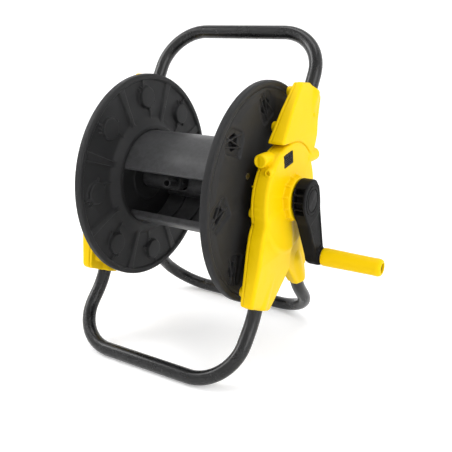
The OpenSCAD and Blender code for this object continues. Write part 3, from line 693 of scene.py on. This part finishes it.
# crank: hub, tapering arm and tip in one moulding
CA = math.radians(22)
CX0, CX1 = 156.5, 173.5


def crank(x, y, z):
    d = y * math.sin(CA) - z * math.cos(CA)
    e = y * math.cos(CA) + z * math.sin(CA)
    hub = both(np.hypot(d, e) - 27, np.abs(e) - 23.6, 6)
    arm = poly(e, -d, [(-23.6, 6), (-12.5, -92), (12.5, -92), (23.6, 6)])
    flat = join(join(hub, arm, 8), np.hypot(d - 92, e) - 12.5, 5)
    s = both(flat, np.abs(x - (CX0 + CX1) / 2) - (CX1 - CX0) / 2, 2.0)
    s = join(s, both(np.hypot(d - 92, e) - 12.2, np.maximum(x - CX1 - 2.4, 160 - x), 1.2), 2.5)
    dish = both(flat + 5.5, np.maximum(CX1 - 0.9 - x, 30 - d), 0.0)
    s = cut(s, np.maximum(dish, d - 78), 1.4)
    for a in (-36, -14, 8, 30):
        ar = math.radians(a)
        out = -y * math.cos(ar) - z * math.sin(ar)
        tan = -y * math.sin(ar) + z * math.cos(ar)
        s = cut(s, np.maximum(np.maximum(np.abs(tan) - 3.7, 15.5 - out), np.abs(x - 165) - 6.2), 0.5)
    s = cut(s, np.maximum(np.hypot(y, z) - 19.2, CX1 - 1.9 - x), 0.3)
    s = cut(s, np.maximum(np.maximum(np.abs(d), np.abs(e)) - 8.15, x - 167.5), 0.2)
    s = np.maximum(s, -np.maximum(np.hypot(y, z) - 6, 160 - x))
    return np.maximum(s, -(np.hypot(d - 92, e) - 3.55))


moulded("crank_moulding", crank, (155.5, -30, -102), (177, 54, 30), 0.75, DARK, "reel", share=0.35,
        hides=("crank_arm",), slot="black", at=(FX, 0, AX_H))


def lathe(name, profile, mat, body, origin, n=72, **more):
    """Closed profile of (x, r) turned about an X axis through origin."""
    v, f = [], []
    m = len(profile)
    for k in range(n):
        c, s = math.cos(2 * math.pi * k / n), math.sin(2 * math.pi * k / n)
        v += [(px, r * c, r * s) for px, r in profile]
    for k in range(n):
        k2 = (k + 1) % n
        f += [(k * m + j, k * m + (j + 1) % m, k2 * m + (j + 1) % m, k2 * m + j) for j in range(m)]
    ob = mesh_of(name, v, f, mat, body, at=origin, **more)
    fix_normals(ob)
    return ob


def soft(points, r, n=4):
    """Open profile with rounded corners."""
    out = [points[0]]
    for p0, p, p1 in zip(points, points[1:], points[2:]):
        p0, p, p1 = np.array(p0, float), np.array(p, float), np.array(p1, float)
        la, lb = np.hypot(*(p0 - p)), np.hypot(*(p1 - p))
        c = min(r, la * 0.45, lb * 0.45)
        a, b = p + (p0 - p) / la * c, p + (p1 - p) / lb * c
        out += [tuple((1 - t) ** 2 * a + 2 * t * (1 - t) * p + t * t * b) for t in np.linspace(0, 1, n + 1)]
    return out + [points[-1]]


GX0, GX1 = 177, 259
tip = (FX, 92 * math.sin(CA), AX_H - 92 * math.cos(CA))
body_line = [(GX0 + 0.1 + 0.0, 3.6), (GX0, 11.3), (GX0 + 1.6, 12.3)]
body_line += [(GX0 + 6 + k * 7, 12.45 - 0.10 * k + 0.05 * math.sin(k)) for k in range(10)]
body_line += [(GX1 - 5, 11.9), (GX1 - 1.2, 10.6), (GX1, 8.6), (GX1, 7.1), (GX1 - 0.6, 6.8), (GX1 - 6, 6.7),
              (GX1 - 6, 3.6)]
lathe("grip_sleeve", soft(body_line, 1.3), YELLOW, "grip", tip, n=80, hides=("grip",), slot="yellow", sharp=50)

cap = [(CX1 - 1.8, 0.01), (CX1 - 1.8, 18.9), (CX1 + 0.0, 18.9), (CX1 + 0.3, 18.2), (CX1 + 0.35, 15.3), (CX1 - 0.5, 15.0),
       (CX1 - 0.5, 13.9), (CX1 + 0.36, 13.6), (CX1 + 0.4, 0.01)]
lathe("hub_cap", soft(cap, 0.35), DARK, "reel", (FX, 0, AX_H), n=72, hides=("crank_cap",), slot="black", sharp=50)


# tubes: centre lines with bends, swept as hollow-ended pipe
def arc3(p, q, r_, radius, n=18):
    """Corner at q between p and r_ turned into an arc."""
    p, q, r_ = (np.array(k, float) for k in (p, q, r_))
    u, v = (p - q) / np.linalg.norm(p - q), (r_ - q) / np.linalg.norm(r_ - q)
    half = math.acos(float(u @ v)) / 2
    cutl = radius / math.tan(half)
    c = q + (u + v) / np.linalg.norm(u + v) * (radius / math.sin(half))
    a, b = q + u * cutl - c, q + v * cutl - c
    ang = math.acos(float(a @ b) / radius ** 2)
    return [c + (math.sin((1 - t) * ang) * a + math.sin(t * ang) * b) / math.sin(ang) for t in np.linspace(0, 1, n)]


def path(corners, radii):
    out = [np.array(corners[0], float)]
    for i in range(1, len(corners) - 1):
        for w in arc3(corners[i - 1], corners[i], corners[i + 1], radii[i - 1], 28 if radii[i - 1] < 100 else 10):
            out.append(w)
    out.append(np.array(corners[-1], float))
    dense = [out[0]]
    for a, b in zip(out, out[1:]):
        steps = max(1, int(np.linalg.norm(b - a) / 6))
        dense += [a + (b - a) * k / steps for k in range(1, steps + 1)]
    return dense


def sweep(name, pts, radius, mat, body, n=40, wall=1.4, **more):
    pts = np.array(pts)
    tan = np.gradient(pts, axis=0)
    tan /= np.linalg.norm(tan, axis=1)[:, None]
    turn = np.gradient(tan, axis=0)
    curv = np.linalg.norm(turn, axis=1) / np.maximum(np.linalg.norm(np.gradient(pts, axis=0), axis=1), 1e-6)
    ref = np.array([0.0, 1.0, 0.0]) if abs(tan[0][1]) < 0.8 else np.array([1.0, 0, 0])
    u = np.cross(tan[0], ref)
    u /= np.linalg.norm(u)
    rings, length = [], 0.0
    for i, (p, t) in enumerate(zip(pts, tan)):
        u = u - t * float(u @ t)
        u /= np.linalg.norm(u)
        w = np.cross(t, u)
        length += np.linalg.norm(p - pts[i - 1]) if i else 0
        c = turn[i] / (np.linalg.norm(turn[i]) + 1e-9)
        tight = min(1.0, curv[i] * 60) if curv[i] > 0.008 else 0
        ring = []
        for k in range(n):
            a = 2 * math.pi * k / n
            d = u * math.cos(a) + w * math.sin(a)
            inner = max(0.0, float(d @ c)) if tight else 0
            flat = 0.012 * tight * (1 - 2 * abs(float(d @ c)) if tight else 0)
            ripple = 0.010 * tight * inner ** 3 * math.sin(length * 0.9)
            ring.append(p + d * radius * min(1.0, 1 + min(0, flat) + ripple - 0.004 * tight))
        rings.append(ring)
    first = [pts[0] + (q - pts[0]) * (1 - wall / radius) for q in rings[0]]
    last = [pts[-1] + (q - pts[-1]) * (1 - wall / radius) for q in rings[-1]]
    deep0 = [q + tan[0] * 12 for q in first]
    deep1 = [q - tan[-1] * 12 for q in last]
    rings = [deep0, first] + rings + [last, deep1]
    v = [q for ring in rings for q in ring]
    f = []
    for i in range(len(rings) - 1):
        for k in range(n):
            k2 = (k + 1) % n
            f.append((i * n + k, i * n + k2, (i + 1) * n + k2, (i + 1) * n + k))
    m = len(rings)
    f += [tuple(reversed(range(n))), tuple(range((m - 1) * n, m * n))]
    ob = mesh_of(name, v, f, mat, body, sharp=50, **more)
    fix_normals(ob)
    return ob


def up_handle(x, s):
    return (FX + x, 49.85 + s * math.sin(LEAN_H), 298 + s * math.cos(LEAN_H))


sweep("handle_pipe", path([up_handle(-127, 0), up_handle(-127, 150), up_handle(127, 150), up_handle(127, 0)], [62, 62]),
      TUBE_R, PAINT, "frame", hides=("handle_tube",), slot="tube")
LOW = math.radians(42.7229)
for name, sgn in (("front", -1), ("rear", 1)):
    def leg(x, s, part):
        if part == "stub":
            return (FX + x, sgn * (68.51 - s * math.sin(LEAN_L)), 75 + s * math.cos(LEAN_L))
        return (FX + x, sgn * (68.51 + s * math.sin(LOW)), 75 - s * math.cos(LOW))

    line = [leg(-127, 70, "stub"), leg(-127, 0, "stub"), leg(-127, 89, "low"), leg(127, 89, "low"), leg(127, 0, "stub"),
            leg(127, 70, "stub")]
    sweep(name + "_pipe", path(line, [100, 60, 60, 100]), TUBE_R, PAINT, "frame", hides=(name + "_leg_tube",),
          slot="tube")
